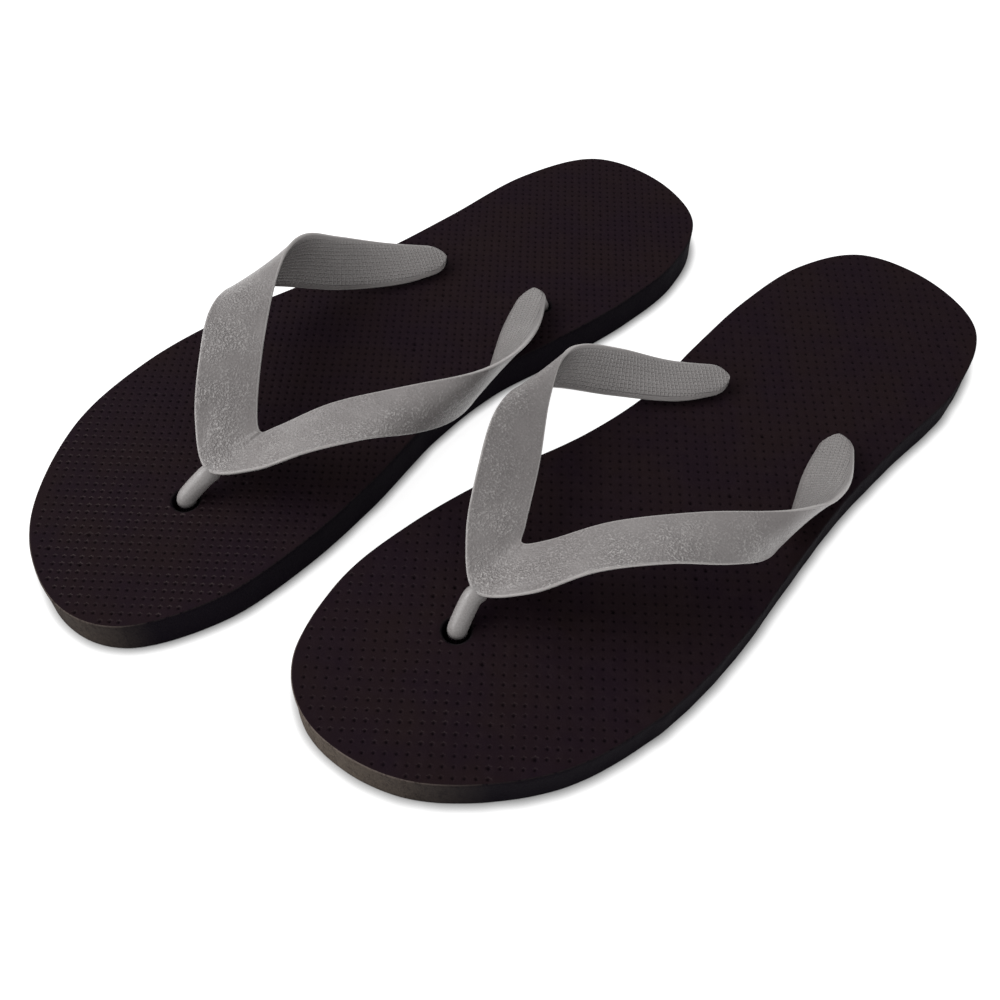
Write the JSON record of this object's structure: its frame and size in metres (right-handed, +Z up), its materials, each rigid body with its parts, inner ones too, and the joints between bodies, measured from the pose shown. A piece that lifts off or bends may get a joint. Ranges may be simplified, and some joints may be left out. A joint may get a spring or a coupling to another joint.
{
  "type": "pair of flip flops",
  "caption": "Pair of thong sandals: flat foam soles with a dimpled footbed, each with a moulded strap that forks from a toe post and plugs into the sole.",
  "frame": {"origin": "centre of the pair's bounding box, on the floor", "axes": "+Z up from the floor; -Y towards the toes, along both soles; +X towards the left flip flop's outer side"},
  "size_m": [0.2194, 0.318, 0.0441],
  "materials": {
    "foam": "matte closed-cell EVA foam, very dark brown-black",
    "vinyl": "soft satin grey PVC with a fine moulded grain"
  },
  "bodies": {
    "left_rear": {"left_sole_rear": "foam", "left_strap": "vinyl"},
    "left_fore": {"left_sole_fore": "foam"},
    "right_rear": {"right_sole_rear": "foam", "right_strap": "vinyl"},
    "right_fore": {"right_sole_fore": "foam"}
  },
  "joints": [
    {"name": "left_flex", "type": "hinge", "parent": "left_rear", "child": "left_fore", "pos_m": [0.0575, -0.0285, 0.0135], "axis": [-1, 0, 0], "range_deg": [0, 40], "stiffness_Nm_per_rad": 0.8, "deforming": ["left_strap"]},
    {"name": "right_flex", "type": "hinge", "parent": "right_rear", "child": "right_fore", "pos_m": [-0.0575, -0.0615, 0.0135], "axis": [-1, 0, 0], "range_deg": [0, 40], "stiffness_Nm_per_rad": 0.8, "deforming": ["right_strap"]},
    {"name": "right_lift", "type": "slide", "parent": "left_rear", "child": "right_rear", "axis": [0, 0, 1], "range_m": [0, 0.12]}
  ]
}
